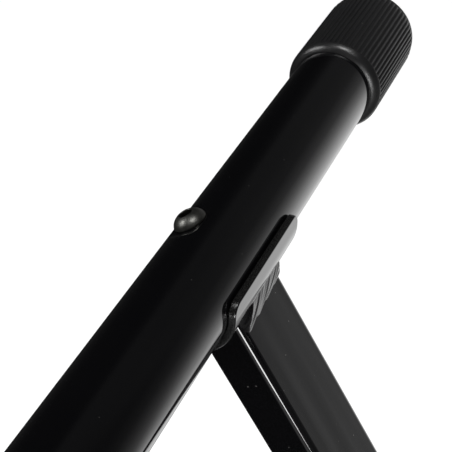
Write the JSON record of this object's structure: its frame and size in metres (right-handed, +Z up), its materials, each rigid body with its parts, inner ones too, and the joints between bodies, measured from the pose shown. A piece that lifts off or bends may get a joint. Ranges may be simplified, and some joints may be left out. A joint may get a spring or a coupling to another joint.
{
  "type": "keyboard stand",
  "caption": "Folding scissor keyboard stand: crossed rectangular legs on a friction pivot with a hand knob, round support arms and foot bars with ribbed rubber end caps.",
  "frame": {"origin": "on the floor under the pivot, at the middle of the footprint", "axes": "+Z up, +Y along the arms and feet towards the rear leg, +X towards the front leg's arm"},
  "size_m": [0.536, 0.42, 0.902],
  "materials": {
    "black_coat": "gloss black powder coat on steel",
    "cap_rubber": "matt moulded rubber with fine ribs",
    "black_screw": "satin black oxide",
    "zinc_steel": "bright zinc plate",
    "friction_fibre": "pressed brown fibre",
    "knob_plastic": "fine-grained black moulding",
    "insert_brass": "turned brass"
  },
  "bodies": {
    "rear_frame": {"rear_leg": "black_coat", "rear_leg_sleeve": "zinc_steel", "rear_leg_hub_plate": "black_coat", "rear_leg_hub_welds": "black_coat", "rear_leg_screws": "black_screw", "rear_leg_nut_blocks": "zinc_steel", "rear_leg_arm": "black_coat", "rear_leg_arm_saddle": "black_coat", "rear_leg_arm_welds": "black_coat", "rear_leg_arm_back_cap": "cap_rubber", "rear_leg_arm_front_cap": "cap_rubber", "rear_leg_foot": "black_coat", "rear_leg_foot_saddle": "black_coat", "rear_leg_foot_welds": "black_coat", "rear_leg_foot_back_cap": "cap_rubber", "rear_leg_foot_front_cap": "cap_rubber", "pivot_bolt": "zinc_steel", "bolt_washer": "zinc_steel", "friction_disc": "friction_fibre"},
    "front_frame": {"front_leg": "black_coat", "front_leg_sleeve": "zinc_steel", "front_leg_hub_plate": "black_coat", "front_leg_hub_welds": "black_coat", "front_leg_screws": "black_screw", "front_leg_nut_blocks": "zinc_steel", "front_leg_arm": "black_coat", "front_leg_arm_saddle": "black_coat", "front_leg_arm_welds": "black_coat", "front_leg_arm_back_cap": "cap_rubber", "front_leg_arm_front_cap": "cap_rubber", "front_leg_foot": "black_coat", "front_leg_foot_saddle": "black_coat", "front_leg_foot_welds": "black_coat", "front_leg_foot_back_cap": "cap_rubber", "front_leg_foot_front_cap": "cap_rubber"},
    "clamp_washer": {"clamp_washer": "zinc_steel"},
    "knob": {"knob": "knob_plastic", "knob_insert": "insert_brass"}
  },
  "joints": [
    {"name": "fold", "type": "hinge", "parent": "rear_frame", "child": "front_frame", "pos_m": [0, 0, 0.45101], "axis": [0, 1, 0], "range_deg": [-55, 44]},
    {"name": "knob_travel", "type": "slide", "parent": "front_frame", "child": "clamp_washer", "axis": [0, -1, 0], "range_m": [0, 0.0025]},
    {"name": "knob_turn", "type": "hinge", "parent": "clamp_washer", "child": "knob", "pos_m": [0, 0, 0.45101], "axis": [0, -1, 0], "range_deg": [0, 720]}
  ],
  "couplings": [
    {"joint": "knob_turn", "follows": "knob_travel", "rad_per_m": 5026.5}
  ]
}
